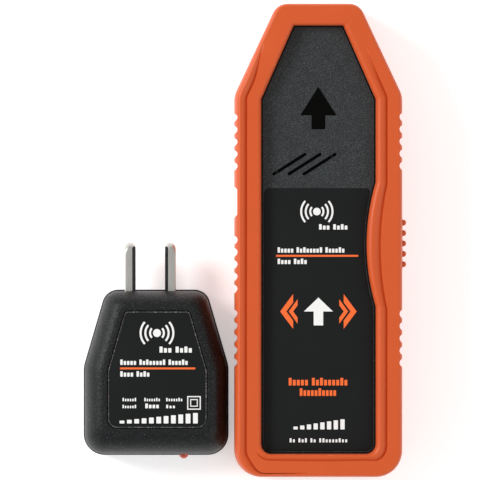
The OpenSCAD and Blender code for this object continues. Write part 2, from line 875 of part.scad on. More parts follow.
module transmitter_rear_shell() {
    inner = inset(shell_corners, shell_wall);
    color("#1a1d1f")
        in_transmitter()
            difference() {
                union() {
                    difference() {
                        rounded_block(shell_corners, shell_back_section);
                        prism(inner, shell_wall, shell_split + eps);
                    }
                    tx_posts(1, shell_split - clear);
                    for (x = [-12, 12], y = [8, 36])
                        translate([x, y, 1]) cylinder(r = 1.6, h = tx_board_z - 1);
                }
                tx_bore(tx_head_r + 0.2, -eps, tx_head_z);
                tx_bore(tx_shank_r + 0.15, 0, shell_split + eps);
                blade_slots(0.1);
                led_bore(0.05);
            }
}

module transmitter_label() {
    color("#101314")
        in_transmitter()
            translate([face_x, 0, 0])
                prism(inset(face_corners, front_label_gap), transmitter_t - face_depth,
                      transmitter_t - face_depth + front_label_t);
}

// A flat piece through the locking hole of a blade, seen from the side
module blade_side(low_y, high_y, tip_r) {
    half = blade_w / 2;
    translate([blade_pitch / 2 + blade_t / 2, 0, blade_z])
        rotate([0, -90, 0])
            linear_extrude(blade_t)
                difference() {
                    polygon(outline([[half, low_y, 0], [half, high_y, tip_r], [-half, high_y, tip_r],
                                     [-half, low_y, 0]]));
                    translate([0, transmitter_l + blade_l - blade_hole_from_tip]) circle(r = blade_hole_r);
                }
}

// The layer along a blade's inner face that the inlay fills
module inlay_space(over) {
    from_y = transmitter_l + inlay_ends[0];
    translate([blade_pitch / 2 - blade_t / 2 - over, from_y, blade_z - blade_w / 2 - over])
        cube([inlay_t + over, blade_l - inlay_ends[0] - inlay_ends[1], blade_w + 2 * over]);
}

// A flat plug blade with a rounded tip and a locking hole
module blade(side) {
    root_y = transmitter_l - blade_root;
    tip_y = transmitter_l + blade_l;
    low_x = blade_pitch / 2 - blade_t / 2;
    high_x = blade_pitch / 2 + blade_t / 2;
    color("#b4b2aa")
        in_transmitter()
            translate([blade_x, 0, 0])
                mirror([side < 0 ? 1 : 0, 0, 0])
                    difference() {
                        intersection() {
                            blade_side(root_y, tip_y, blade_tip_r);
                            prism([[high_x, root_y, 0], [high_x, tip_y, blade_top_r],
                                   [low_x, tip_y, blade_top_r], [low_x, root_y, 0]], 0, transmitter_t);
                        }
                        inlay_space(eps);
                    }
}

module left_blade() { blade(-1); }
module right_blade() { blade(1); }

// Dark strips in the inner faces of both blades
module blade_inlays() {
    color("#17191a")
        in_transmitter()
            for (side = [0, 1])
                translate([blade_x, 0, 0])
                    mirror([side, 0, 0])
                        intersection() {
                            inlay_space(0);
                            blade_side(0, transmitter_l + blade_l, blade_tip_r);
                        }
}

module blade_holder() {
    color("#dcd8cc")
        in_transmitter()
            difference() {
                translate([blade_x, transmitter_l - holder_from_nose, blade_z])
                    cube(holder_size, center = true);
                blade_slots(0.03);
                translate([0, 0, -shell_split]) tx_bore(tx_boss_r + 0.2, 0, 2 * transmitter_t);
            }
}

module transmitter_board() {
    color("#1f5a38")
        in_transmitter()
            difference() {
                translate([-19.8, 2.6, tx_board_z]) cube([39.6, 37, tx_board_t]);
                tx_bore(tx_boss_r + 0.4, tx_board_z - eps, tx_board_top + eps);
                for (side = [-1, 1])
                    translate([side * 21.3, 2.6, tx_board_z - eps]) cylinder(r = 5, h = tx_board_t + 2 * eps);
                for (side = [-1, 1])
                    translate([side * 23.6, 39.6, tx_board_z - eps])
                        cylinder(r = 9, h = tx_board_t + 2 * eps);
            }
}

module on_tx_board(x, y) {
    in_transmitter()
        translate([x, y, tx_board_top])
            children();
}

module pulse_capacitor() {
    color("#b7392c") on_tx_board(-7, 23) translate([-9, -4, 0]) cube([18, 8, 12]);
}

// A lying cylinder with two bent legs down to the board
module axial_part(r, length, height) {
    translate([-length / 2, 0, height]) rotate([0, 90, 0]) cylinder(r = r, h = length);
    for (side = [-1, 1])
        wire([[side * (length / 2 - 0.5), 0, height], [side * (length / 2 + 1.5), 0, height],
              [side * (length / 2 + 2), 0, height - 0.5], [side * (length / 2 + 2), 0, 0]], 0.35);
}

module load_resistor() {
    color("#8b6f4e") on_tx_board(-3, 34.5) axial_part(2.3, 14, 3);
}

module line_fuse() {
    color("#cfd3d2") on_tx_board(-4, 14.5) axial_part(1.8, 9, 2.4);
}

module pulse_triac() {
    color("#1b1d1e")
        on_tx_board(11.5, 26) {
            translate([-5, -7.5, 0]) cube([10, 9, 4.4]);
            translate([-5, 1.5, 0]) cube([10, 6, 1.2]);
            for (i = [-1:1])
                translate([i * 2.54 - 0.4, -10.5, 1.4]) cube([0.8, 3.2, 0.5]);
        }
}

module control_chip() {
    color("#17191a") on_tx_board(3, 7.5) rotate([0, 0, 90]) chip([4, 8, 2], 4, 1.6);
}

// A lead from the root of a blade down to the board
module blade_lead(side) {
    x = blade_x + side * blade_pitch / 2;
    y = transmitter_l - blade_root;
    in_transmitter()
        wire(smooth([[x, y - 0.1, blade_z], [x, y - 3.2, blade_z], [x + side * 6, y - 3.4, blade_z - 1],
                     [x + side * 6, y - 3.6, tx_board_top + 1.5 * clear]]), 0.7);
}

module line_lead() { color("#1a1b1c") blade_lead(-1); }
module neutral_lead() { color("#d9d8d2") blade_lead(1); }

module signal_led() {
    y = led_r - led_proud;
    color("#a8341c")
        in_transmitter()
            translate([led_x, 0, shell_split]) {
                translate([0, y, 0]) sphere(r = led_r);
                translate([0, y, 0]) rotate([-90, 0, 0]) cylinder(r = led_r, h = 4.6 - y);
                translate([0, 3.2, 0]) rotate([-90, 0, 0]) cylinder(r = led_r + 0.4, h = 1.4);
                for (side = [-1, 1])
                    wire([[side * 1.27, 4.4, 0], [side * 1.27, 6.2, 0], [side * 1.27, 6.8, -0.6],
                          [side * 1.27, 6.8, tx_board_top - shell_split]], 0.3);
            }
}

module transmitter_screws() {
    color("#8e8f90")
        for (p = tx_screw_places)
            in_transmitter()
                translate([p[0], p[1], tx_head_z]) screw(tx_head_r, 1.6, tx_shank_r, 16);
}

receiver_boot();
receiver_front_case();
receiver_rear_case();
receiver_label();
arrow_window();
power_button();
button_plunger();
tactile_switch();
switch_actuator();
main_board();
microcontroller();
signal_amplifier();
arrow_leds();
sounder_case();
sounder_disc();
pickup_core();
pickup_winding();
supply_capacitor();
clock_crystal();
board_resistors();
board_screws();
battery_jacket();
battery_terminals();
battery_snap();
battery_lead_positive();
battery_lead_negative();
battery_foam_pad();
battery_door();
receiver_screws();
transmitter_front_shell();
transmitter_rear_shell();
transmitter_label();
left_blade();
right_blade();
blade_inlays();
blade_holder();
transmitter_board();
pulse_capacitor();
load_resistor();
pulse_triac();
control_chip();
line_fuse();
line_lead();
neutral_lead();
signal_led();
transmitter_screws();
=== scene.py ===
"""Looks of the circuit breaker finder: a receiver in its rubber boot, and a plug-in transmitter.

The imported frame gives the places. Shapes are worked out in millimetres about each unit's own middle,
and turned into metres when a mesh is made.
"""

import json
import math

import bmesh
import bpy
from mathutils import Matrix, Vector


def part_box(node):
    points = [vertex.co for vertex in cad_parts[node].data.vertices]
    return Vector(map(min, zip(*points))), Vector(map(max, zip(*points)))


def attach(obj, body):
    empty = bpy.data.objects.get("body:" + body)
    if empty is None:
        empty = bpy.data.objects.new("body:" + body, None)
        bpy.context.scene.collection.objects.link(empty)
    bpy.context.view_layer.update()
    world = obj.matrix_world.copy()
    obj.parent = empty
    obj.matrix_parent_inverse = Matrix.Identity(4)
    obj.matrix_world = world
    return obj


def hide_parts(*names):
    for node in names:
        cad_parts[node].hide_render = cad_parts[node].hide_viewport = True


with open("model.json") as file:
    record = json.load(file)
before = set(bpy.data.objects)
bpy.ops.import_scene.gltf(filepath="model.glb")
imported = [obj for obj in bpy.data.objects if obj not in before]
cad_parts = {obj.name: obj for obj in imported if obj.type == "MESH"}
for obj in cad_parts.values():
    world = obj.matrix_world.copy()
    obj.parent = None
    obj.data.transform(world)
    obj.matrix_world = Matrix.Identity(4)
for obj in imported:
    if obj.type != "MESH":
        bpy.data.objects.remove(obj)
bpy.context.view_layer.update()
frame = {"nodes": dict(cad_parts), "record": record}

MM = 0.001

# ---- Places and sizes, from the frame ----

boot_low, boot_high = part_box("receiver_boot")
case_low, case_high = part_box("receiver_front_case")
label_low, label_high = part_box("receiver_label")
button_low, button_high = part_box("power_button")
back_low, back_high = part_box("transmitter_rear_shell")
face_low, face_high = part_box("transmitter_front_shell")
front_label_low, front_label_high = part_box("transmitter_label")
lamp_low, lamp_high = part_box("signal_led")

RECEIVER = Vector(((boot_low.x + boot_high.x) / 2, (boot_low.y + boot_high.y) / 2, 0))
TRANSMITTER = Vector(((back_low.x + back_high.x) / 2, back_low.y, 0))

half_w = (boot_high.x - boot_low.x) / 2 / MM
half_l = (boot_high.y - boot_low.y) / 2 / MM
rim_z = boot_high.z / MM
panel_z = case_high.z / MM

# Receiver outline: [x, y, corner radius], anticlockwise from the tail's right corner
nose_half_w = 13
shoulder_y = 45.9
BOOT_CORNERS = [
    (half_w, -half_l, 8.5), (half_w, shoulder_y, 8.5), (nose_half_w, half_l, 5),
    (-nose_half_w, half_l, 5), (-half_w, shoulder_y, 8.5), (-half_w, -half_l, 8.5),
]
panel_half_w = 18.1
PANEL_CORNERS = [
    (panel_half_w, -67.5, 3.2), (panel_half_w, 44.6, 1), (7.8, 67.9, 0.5),
    (-7.8, 67.9, 0.5), (-panel_half_w, 44.6, 1), (-panel_half_w, -67.5, 3.2),
]

# The boot's swelling into the panel beside the button
swell = 2.85
swell_y = -1.3
swell_half_l = 19.65
swell_r = (swell_half_l ** 2 + swell ** 2) / (2 * swell)

# Grip notches on the boot's sides
notch_pitch = 3.87
notch_r = 1.35
notch_depth = 1.07
NOTCH_GROUPS = {-1: (31.2, -7.7, -31.1), 1: (31.2, -31.1)}
NOTCHES = 5
thumb_flat = (7.1, 17.1)
thumb_depth = 0.95

# Transmitter outline, from the middle of its tail
shell_half_w = (back_high.x - back_low.x) / 2 / MM
shell_l = (back_high.y - back_low.y) / MM
shell_top = face_high.z / MM
split_z = face_low.z / MM
SHELL_CORNERS = [
    (shell_half_w, 0, 6.6), (shell_half_w, 28.2, 9), (15.9, shell_l, 5),
    (-15.9, shell_l, 5), (-shell_half_w, 28.2, 9), (-shell_half_w, 0, 6.6),
]
FACE_CORNERS = [
    (15.9, 8.6, 3.2), (15.9, 27, 2), (10.4, 46, 1.6), (-10.4, 46, 1.6), (-15.9, 27, 2), (-15.9, 8.6, 3.2),
]
recess = 0.9
face_x = 0.5


# ---- Outlines ----

def smooth(x):
    """0 below 0, 1 above 1, and an even S between."""
    x = min(max(x, 0.0), 1.0)
    return x * x * (3 - 2 * x)


def mix(a, b, t):
    """The value a share t of the way from a to b."""
    return a + (b - a) * t


def corner_arc(before, corner, after, radius, steps):
    """Points of one rounded corner, always steps + 1 of them."""
    c = Vector(corner)
    u = (Vector(before) - c).normalized()
    v = (Vector(after) - c).normalized()
    half = u.angle(v) / 2
    middle = c + (u + v).normalized() * (radius / math.sin(half))
    start = c + u * (radius / math.tan(half)) - middle
    turn = math.pi - 2 * half
    side = 1 if u.y * v.x - u.x * v.y > 0 else -1
    points = []
    for i in range(steps + 1):
        a = side * turn * i / steps
        x = start.x * math.cos(a) - start.y * math.sin(a)
        y = start.x * math.sin(a) + start.y * math.cos(a)
        points.append(middle + Vector((x, y)))
    return points


def outline(corners, edges, arc=12):
    """A closed outline with arc steps on each corner and edges[i] steps on the side after corner i."""
    n = len(corners)
    arcs = []
    for i in range(n):
        before, here, after = corners[i - 1], corners[i], corners[(i + 1) % n]
        arcs.append(corner_arc(before[:2], here[:2], after[:2], here[2], arc))
    points = []
    for i in range(n):
        points += arcs[i]
        start, end = arcs[i][-1], arcs[(i + 1) % n][0]
        for k in range(1, edges[i]):
            points.append(start.lerp(end, k / edges[i]))
    return points


def inset(corners, d):
    """The corners moved inwards by d."""
    n = len(corners)
    moved = []
    for i in range(n):
        a, c, b = Vector(corners[i - 1][:2]), Vector(corners[i][:2]), Vector(corners[(i + 1) % n][:2])
        m = (c - a).normalized()
        k = (b - c).normalized()
        m, k = Vector((-m.y, m.x)), Vector((-k.y, k.x))
        p = c + (m + k) * (d / (1 + m.dot(k)))
        moved.append((p.x, p.y, max(corners[i][2] - d, 0.3)))
    return moved


def face_outline(d, edges, arc=12):
    """The label's recess, moved inwards by d and a little off the unit's middle."""
    return [Vector((p.x + face_x, p.y)) for p in outline(inset(FACE_CORNERS, d), edges, arc)]


def swell_at(y):
    """How far the boot swells into the panel beside the button, at height y."""
    if abs(y - swell_y) >= swell_half_l:
        return 0.0
    return math.sqrt(swell_r ** 2 - (y - swell_y) ** 2) - (swell_r - swell)


def swollen(points):
    """An outline of the panel with its right side pushed in by the swelling."""
    return [Vector((p.x - (swell_at(p.y) if p.x > 10 else 0), p.y)) for p in points]


# ---- Mesh helpers ----

def new_object(name, mesh):
    """An object in the scene that shows mesh."""
    piece = bpy.data.objects.new(name, mesh)
    bpy.context.scene.collection.objects.link(piece)
    return piece


def shade(piece, angle=30):
    """Smooth shading, with edges of more than angle degrees left sharp."""
    piece.data.shade_smooth()
    piece.data.set_sharp_from_angle(angle=math.radians(angle))
    return piece


def piece_from(name, points, faces, origin, angle=30):
    """A piece from points in millimetres about origin."""
    mesh = bpy.data.meshes.new(name)
    mesh.from_pydata([tuple(origin + Vector(p) * MM) for p in points], [], faces)
    work = bmesh.new()
    work.from_mesh(mesh)
    bmesh.ops.remove_doubles(work, verts=work.verts, dist=1e-7)
    bmesh.ops.recalc_face_normals(work, faces=work.faces)
    work.to_mesh(mesh)
    work.free()
    return shade(new_object(name, mesh), angle)


def loft_faces(count, rings, closed):
    """Quads between rings of count points; closed joins the last ring to the first."""
    faces = []
    for j in range(rings if closed else rings - 1):
        a, b = j * count, ((j + 1) % rings) * count
        for i in range(count):
            k = (i + 1) % count
            faces.append((a + i, a + k, b + k, b + i))
    return faces


def loft(name, rings, origin, closed=False, angle=30):
    """A piece through rings of 3-D points; an open loft is closed with a face on each end."""
    count = len(rings[0])
    points = [p for ring in rings for p in ring]
    faces = loft_faces(count, len(rings), closed)
    if not closed:
        for j in (0, len(rings) - 1):
            faces.append(tuple(j * count + i for i in range(count)))
    return piece_from(name, points, faces, origin, angle)


def level(points, z):
    """An outline laid flat at height z."""
    return [(p[0], p[1], z) for p in points]


def plate(name, corners, low, high, origin, round_edge=0.1, arc=8, edges=None, shape=None):
    """A flat piece with softly rounded upper and lower edges."""
    shape = shape or (lambda points: points)
    edges = edges or [1] * len(corners)
    steps = 4
    rings = []
    for k in range(steps + 1):
        a = math.pi / 2 * k / steps
        ring = shape(outline(inset(corners, round_edge * (1 - math.sin(a))), edges, arc))
        rings.append(level(ring, low + round_edge * (1 - math.cos(a))))
    for k in range(steps + 1):
        a = math.pi / 2 * k / steps
        ring = shape(outline(inset(corners, round_edge * (1 - math.cos(a))), edges, arc))
        rings.append(level(ring, high - round_edge * (1 - math.sin(a))))
    return loft(name, rings, origin)


def lathe(name, profile, place, axis, steps=48):
    """A turned piece: profile is (radius, distance along axis), starting and ending on the axis."""
    axis = Vector(axis)
    u = axis.orthogonal().normalized()
    v = axis.cross(u)
    rings = []
    for r, h in profile:
        turn = [2 * math.pi * i / steps for i in range(steps)]
        r = max(r, 1e-4)
        rings.append([axis * h + u * (r * math.cos(t)) + v * (r * math.sin(t)) for t in turn])
    return loft(name, rings, place)


def cut(piece, tool):
    """Cuts tool out of piece and throws the tool away."""
    step = piece.modifiers.new("cut", "BOOLEAN")
    step.operation = "DIFFERENCE"
    step.solver = "EXACT"
    step.object = tool
    bpy.context.view_layer.update()
    done = bpy.data.meshes.new_from_object(piece.evaluated_get(bpy.context.evaluated_depsgraph_get()))
    piece.modifiers.clear()
    piece.data = done
    bpy.data.objects.remove(tool)
    return shade(piece)


def joined(name, pieces):
    """Several pieces as the parts of one mesh."""
    mesh = bpy.data.meshes.new(name)
    work = bmesh.new()
    for piece in pieces:
        work.from_mesh(piece.data)
        bpy.data.objects.remove(piece)
    work.to_mesh(mesh)
    work.free()
    return shade(new_object(name, mesh))


# ---- Materials ----

class Paint:
    """A Principled material and the few node patterns that the materials here share."""

    def __init__(self, name, metallic=0.0, **sockets):
        self.material = bpy.data.materials.new(name)
        self.material.use_nodes = True
        self.tree = self.material.node_tree
        self.shader = self.tree.nodes["Principled BSDF"]
        self.shader.inputs["Metallic"].default_value = metallic
        for socket, value in sockets.items():
            self.shader.inputs[socket.replace("_", " ")].default_value = value
        self.place = self.node("ShaderNodeTexCoord").outputs["Object"]

    def node(self, kind, **settings):
        """A new node with its settings."""
        made = self.tree.nodes.new(kind)
        for key, value in settings.items():
            setattr(made, key, value)
        return made

    def link(self, output, target):
        self.tree.links.new(output, target)

    def noise(self, size, detail=3.0, stretch=None):
        """Noise from 0 to 1 whose grains are about size millimetres."""
        made = self.node("ShaderNodeTexNoise")
        made.inputs["Scale"].default_value = 1 / (size * MM)
        made.inputs["Detail"].default_value = detail
        source = self.place
        if stretch:
            bend = self.node("ShaderNodeMapping")
            bend.inputs["Scale"].default_value = stretch
            self.link(source, bend.inputs["Vector"])
            source = bend.outputs["Vector"]
        self.link(source, made.inputs["Vector"])
        return made.outputs["Fac"]

    def cells(self, size):
        """Distance to scattered points about size millimetres apart."""
        made = self.node("ShaderNodeTexVoronoi")
        made.inputs["Scale"].default_value = 1 / (size * MM)
        self.link(self.place, made.inputs["Vector"])
        return made.outputs["Distance"]

    def ramp(self, source, stops):
        """Colours from (position, colour) stops, looked up by source."""
        made = self.node("ShaderNodeValToRGB")
        while len(made.color_ramp.elements) < len(stops):
            made.color_ramp.elements.new(0.5)
        for element, (position, color) in zip(made.color_ramp.elements, stops):
            element.position = position
            element.color = (*color, 1) if len(color) == 3 else color
        self.link(source, made.inputs["Fac"])
        return made.outputs["Color"]

    def spread(self, source, low, high):
        """source from 0 to 1 becomes low to high."""
        made = self.node("ShaderNodeMapRange")
        made.inputs["To Min"].default_value = low
        made.inputs["To Max"].default_value = high
        self.link(source, made.inputs["Value"])
        return made.outputs["Result"]

    def blend(self, amount, first, second):
        """The first colour where amount is 0 and the second where it is 1; each may be a node's output."""
        made = self.node("ShaderNodeMix", data_type="RGBA")
        self.link(amount, made.inputs[0])
        for index, value in ((6, first), (7, second)):
            if isinstance(value, tuple):
                made.inputs[index].default_value = (*value, 1)
            else:
                self.link(value, made.inputs[index])
        return made.outputs[2]

    def edges(self, low, high):
        """1 on outer edges and 0 elsewhere, by how sharply the surface bends."""
        bend = self.node("ShaderNodeNewGeometry").outputs["Pointiness"]
        return self.ramp(bend, [(low, (0, 0, 0)), (high, (1, 1, 1))])

    def color(self, output):
        self.link(output, self.shader.inputs["Base Color"])

    def roughness(self, source, low, high):
        self.link(self.spread(source, low, high), self.shader.inputs["Roughness"])

    def bump(self, heights):
        """Bumps from (source, height in millimetres), laid over each other."""
        normal = None
        for source, height in heights:
            made = self.node("ShaderNodeBump")
            made.inputs["Distance"].default_value = height * MM
            made.inputs["Strength"].default_value = 1.0
            self.link(source, made.inputs["Height"])
            if normal:
                self.link(normal, made.inputs["Normal"])
            normal = made.outputs["Normal"]
        self.link(normal, self.shader.inputs["Normal"])


def rubber_paint():
    """Moulded orange rubber: fine even grain, slightly faded on the edges."""
    paint = Paint("orange_rubber", Specular_IOR_Level=0.38, Sheen_Weight=0.04, Sheen_Roughness=0.6)
    grain = paint.noise(0.22, 4)
    clouds = paint.noise(14, 2)
    base = paint.blend(clouds, (0.54, 0.068, 0.005), (0.585, 0.077, 0.008))
    specks = paint.ramp(grain, [(0.35, (0, 0, 0)), (0.75, (0.35, 0.35, 0.35))])
    speck = paint.blend(specks, base, (0.65, 0.115, 0.024))
    paint.color(paint.blend(paint.edges(0.53, 0.62), speck, (0.61, 0.095, 0.018)))
    paint.roughness(clouds, 0.4, 0.5)
    paint.bump([(grain, 0.02), (paint.noise(1.4, 2), 0.015)])
    return paint.material


def spark_paint(name, dark, light, painted_glint, size=0.3, shine=0.3):
    """Spark-eroded plastic: a coarse pebbled grain, with a painted highlight (the last colour) on the pebble
    tops.
    """
    paint = Paint(name, Specular_IOR_Level=shine)
    pebbles = paint.noise(size, 4)
    patches = paint.noise(3.2, 3)
    # The last stop paints a highlight on the tops of the pebbles.
    stops = [(0.36, dark), (0.56, light), (0.72, painted_glint)]
    tone = paint.ramp(pebbles, stops)
    paint.color(paint.blend(paint.ramp(patches, [(0.3, (0, 0, 0)), (0.8, (0.5, 0.5, 0.5))]), tone, dark))
    paint.roughness(pebbles, 0.6, 0.3)
    paint.bump([(pebbles, 0.09), (paint.cells(size * 1.7), 0.05)])
    return paint.material


def film_paint():
    """Printed polycarbonate film: nearly smooth, with a faint satin ripple."""
    paint = Paint("label_film", Specular_IOR_Level=0.16)
    ripple = paint.noise(0.5, 2)
    paint.color(paint.blend(paint.noise(9, 2), (0.0060, 0.0070, 0.0070), (0.0078, 0.0088, 0.0088)))
    paint.roughness(ripple, 0.36, 0.46)
    paint.bump([(ripple, 0.004)])
    return paint.material


def ink_paint(name, color):
    """Screen-printed ink with a little unevenness in its body."""
    paint = Paint(name, Specular_IOR_Level=0.4)
    body = paint.noise(0.35, 3)
    worn = tuple(c * 0.86 for c in color)
    paint.color(paint.blend(body, worn, color))
    paint.roughness(body, 0.42, 0.55)
    paint.bump([(body, 0.004)])
    return paint.material


def gloss_paint(name, color, roughness=0.16, **sockets):
    """Smooth moulded plastic with faint flow marks."""
    paint = Paint(name, **sockets)
    flow = paint.noise(2.5, 2, stretch=(1, 0.3, 1))
    paint.color(paint.blend(flow, tuple(c * 0.85 for c in color), color))
    paint.roughness(flow, roughness * 0.8, roughness * 1.3)
    paint.bump([(flow, 0.006)])
    return paint.material


def plain_paint(name, color, roughness=0.55, grain=0.25):
    """Matte moulded plastic."""
    paint = Paint(name, Specular_IOR_Level=0.45)
    fine = paint.noise(grain, 3)
    wide = paint.noise(5, 2)
    paint.color(paint.blend(wide, tuple(c * 0.85 for c in color), tuple(min(c * 1.12, 1) for c in color)))
    paint.roughness(fine, roughness - 0.08, roughness + 0.08)
    paint.bump([(fine, 0.012)])
    return paint.material


def metal_paint(name, color, roughness=0.3, stretch=(1, 0.06, 1)):
    """Plated metal with drawn lines along one direction and brighter edges."""
    paint = Paint(name, metallic=1.0)
    lines = paint.noise(0.25, 4, stretch=stretch)
    tone = paint.blend(lines, tuple(c * 0.8 for c in color), color)
    bright = tuple(min(c * 1.2, 1) for c in color)
    paint.color(paint.blend(paint.edges(0.52, 0.6), tone, bright))
    paint.roughness(lines, roughness * 0.8, roughness * 1.3)
    paint.bump([(lines, 0.006)])
    return paint.material


def glass_paint():
    """Clear tube of the fuse."""
    paint = Paint("fuse_glass", Transmission_Weight=0.85, IOR=1.5)
    haze = paint.noise(3, 2)
    paint.color(paint.blend(haze, (0.82, 0.86, 0.85), (0.9, 0.93, 0.92)))
    paint.roughness(haze, 0.04, 0.12)
    return paint.material


def lens_paint():
    """Tinted dome of the status lamp."""
    paint = Paint("red_lens", Transmission_Weight=0.1, IOR=1.5, Coat_Weight=0.4, Coat_Roughness=0.08)
    depth = paint.noise(0.9, 2)
    paint.color(paint.blend(depth, (0.42, 0.045, 0.012), (0.7, 0.11, 0.03)))
    paint.roughness(depth, 0.12, 0.22)
    return paint.material


# The third colour given to each spark paint is a painted highlight on the tops of its grain.
MATERIALS = {
    "orange_rubber": rubber_paint(),
    "case_plastic": spark_paint("case_plastic", (0.010, 0.0115, 0.012), (0.029, 0.033, 0.035),
                                (0.095, 0.103, 0.108), 0.34),
    "back_plastic": spark_paint("back_plastic", (0.012, 0.014, 0.015), (0.022, 0.025, 0.026),
                                (0.045, 0.048, 0.05)),
    "black_plastic": spark_paint("black_plastic", (0.0015, 0.002, 0.0022), (0.0035, 0.0044, 0.0047),
                                 (0.05, 0.057, 0.06), 0.42, 0.26),
    "label_film": film_paint(),
    "window_plastic": gloss_paint("window_plastic", (0.0012, 0.0012, 0.001), 0.3, Specular_IOR_Level=0.05),
    "white_plastic": plain_paint("white_plastic", (0.72, 0.70, 0.62)),
    "chip_plastic": plain_paint("chip_plastic", (0.02, 0.021, 0.022), 0.6),
    "red_plastic": gloss_paint("red_plastic", (0.45, 0.035, 0.025), 0.3),
    "board_laminate": gloss_paint("board_laminate", (0.02, 0.14, 0.055), 0.3),
    "green_led": gloss_paint("green_led", (0.2, 0.55, 0.22), 0.15),
    "brass": metal_paint("brass", (0.6, 0.42, 0.16), 0.35, (1, 1, 1)),
    "ferrite": plain_paint("ferrite", (0.05, 0.045, 0.042), 0.5),
    "copper_winding": metal_paint("copper_winding", (0.5, 0.19, 0.07), 0.35, (0.1, 1, 1)),
    "capacitor_sleeve": gloss_paint("capacitor_sleeve", (0.03, 0.05, 0.12), 0.3),
    "bright_metal": metal_paint("bright_metal", (0.6, 0.61, 0.6), 0.25, (1, 1, 1)),
    "screw_steel": metal_paint("screw_steel", (0.42, 0.42, 0.42), 0.35, (1, 1, 1)),
    "battery_metal": plain_paint("battery_metal", (0.05, 0.06, 0.065), 0.4, 0.6),
    "foam": plain_paint("foam", (0.06, 0.06, 0.065), 0.85, 0.5),
    "blade_metal": metal_paint("blade_metal", (0.62, 0.61, 0.57), 0.34),
    "resistor_body": plain_paint("resistor_body", (0.26, 0.17, 0.09), 0.7),
    "fuse_glass": glass_paint(),
    "red_lens": lens_paint(),
}
WHITE_INK = ink_paint("white_ink", (0.86, 0.86, 0.84))
ORANGE_INK = ink_paint("orange_ink", (0.92, 0.145, 0.022))
# A pale grainy line of painted highlight on the rim of the transmitter's label recess.
RIM_HIGHLIGHT_PAINT = spark_paint("painted_rim_highlight", (0.02, 0.02, 0.02), (0.09, 0.085, 0.08), (0.5, 0.46, 0.44), 0.5)
# Dark paint for the strips on the blades' inner faces: painted shade for the shadowed inner face, with a
# painted highlight on its grain.
BLADE_SHADE_PAINT = spark_paint("blade_painted_shade", (0.004, 0.0045, 0.0045), (0.012, 0.013, 0.013), (0.09, 0.1, 0.1), 0.3)
CLOTH = plain_paint("black_cloth", (0.004, 0.004, 0.004), 0.9, 0.3)


def finish_piece(piece, body, slot, replaced=(), paint=None):
    """Gives a piece its material, the body it rides on and the CAD nodes it stands for."""
    piece.data.materials.clear()
    piece.data.materials.append(paint or MATERIALS[slot])
    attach(piece, body)
    if replaced:
        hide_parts(*replaced)
    return piece


def paint_cad_nodes():
    """Every CAD node gets the material of its slot in the record."""
    for part in frame["record"]["subparts"]:
        node = frame["nodes"][part["node"]]
        node.data.materials.clear()
        node.data.materials.append(MATERIALS[part["material_slot"]])


# ---- Receiver: boot ----

SIDE_STEPS = 520
BOOT_EDGES = [SIDE_STEPS, 60, 26, 60, SIDE_STEPS, 40]
case_inset = 3.05                             # the boot's inner face, just clear of the case
back_rim = 5.2                                # how far the boot reaches over the back
step_w = 0.25                                 # width of the little step at the end of a bead


def notch_inset(side, y):
    """How deep the side is cut at height y, by a grip notch or by the thumb relief."""
    for middle in NOTCH_GROUPS[side]:
        nearest = min(max(round((y - middle) / notch_pitch), -(NOTCHES // 2)), NOTCHES // 2)
        away = abs(y - middle - nearest * notch_pitch)
        if away < notch_r:
            return max(math.sqrt(notch_r ** 2 - away ** 2) - (notch_r - notch_depth), 0.0)
    if side < 0:
        return min(max(min(y - thumb_flat[0], thumb_flat[1] - y), 0.0), thumb_depth)
    return 0.0


def boot_section(outer, inner):
    """The boot's closed section at one place, as [distance in from the outside, z]."""
    width = (outer - inner).length
    out = (outer - inner) / width
    left = smooth((-out.x - 0.35) / 0.5)
    right = smooth((out.x - 0.35) / 0.5)
    tail = smooth((-out.y - 0.35) / 0.5)
    near_nose = smooth((outer.y - 50) / 15)
    roll_w = mix(1.4, 4.0, left * (1 - near_nose))
    roll_h = mix(2.0, 3.6, left * (1 - near_nose))
    top_w = mix(1.3, 2.0, left * (1 - near_nose))
    outer_bead = 1.0 * smooth(-out.x / 0.5) * (1 - near_nose)
    inner_w = mix(mix(1.2, 0.9, tail), 1.7, right)
    inner_h = mix(1.3, 2.0, right)
    inner_bead = max(0.95 * right, 0.6 * tail) * (1 - near_nose)
    crease = mix(2.1, 3.6, right) + 0.25 * swell_at(outer.y) * right

    section = [(back_rim, case_low.z / MM), (back_rim, 0.25), (back_rim - 0.25, 0)]
    section += [(2.7, 0), (2.0, 0.15), (1.4, 0.5), (0.9, 1.0), (0.55, 1.7), (0.25, 2.8), (0.08, 4.2)]
    section += [(0, z) for z in (6, 9, 12, 15, 18)]
    section += [(0.06, 20), (0.13, 22), (0.2, 23.6)]
    side_inset = 0.25
    roll_steps = 11
    for k in range(roll_steps + 1):
        a = math.pi / 2 * k / roll_steps
        d = side_inset + (top_w - side_inset) * (1 - math.cos(a))
        section.append((d, rim_z - roll_h * (1 - math.sin(a))))
    for k in range(1, 9):
        section.append((mix(top_w, roll_w, k / 8), rim_z - outer_bead * (k / 8) ** 1.8))
    for k in range(1, 4):
        section.append((roll_w + step_w * k / 3, rim_z - outer_bead * (1 - smooth(k / 3))))
    crown = (roll_w + step_w, width - crease - step_w)
    section += [(mix(*crown, k / 10), rim_z) for k in range(1, 11)]
    for k in range(1, 4):
        section.append((crown[1] + step_w * k / 3, rim_z - inner_bead * smooth(k / 3)))
    for k in range(1, 9):
        section.append((width - mix(crease, inner_w, k / 8), rim_z - inner_bead * (1 - k / 8) ** 1.8))
    for k in range(1, 11):
        a = math.pi / 2 * k / 10
        section.append((width - inner_w * (1 - math.sin(a)), rim_z - inner_h * (1 - math.cos(a))))
    for z in (mix(rim_z - inner_h, panel_z, 0.5), panel_z + 0.35, panel_z + 0.15):
        section.append((width, z))
    section += [(width - 0.2, panel_z + 0.05), (mix(case_inset, width, 0.5), panel_z + 0.05)]
    section += [(case_inset, panel_z + 0.05), (case_inset, mix(case_low.z / MM, panel_z, 0.5))]
    section.append((case_inset, case_low.z / MM))
    return section


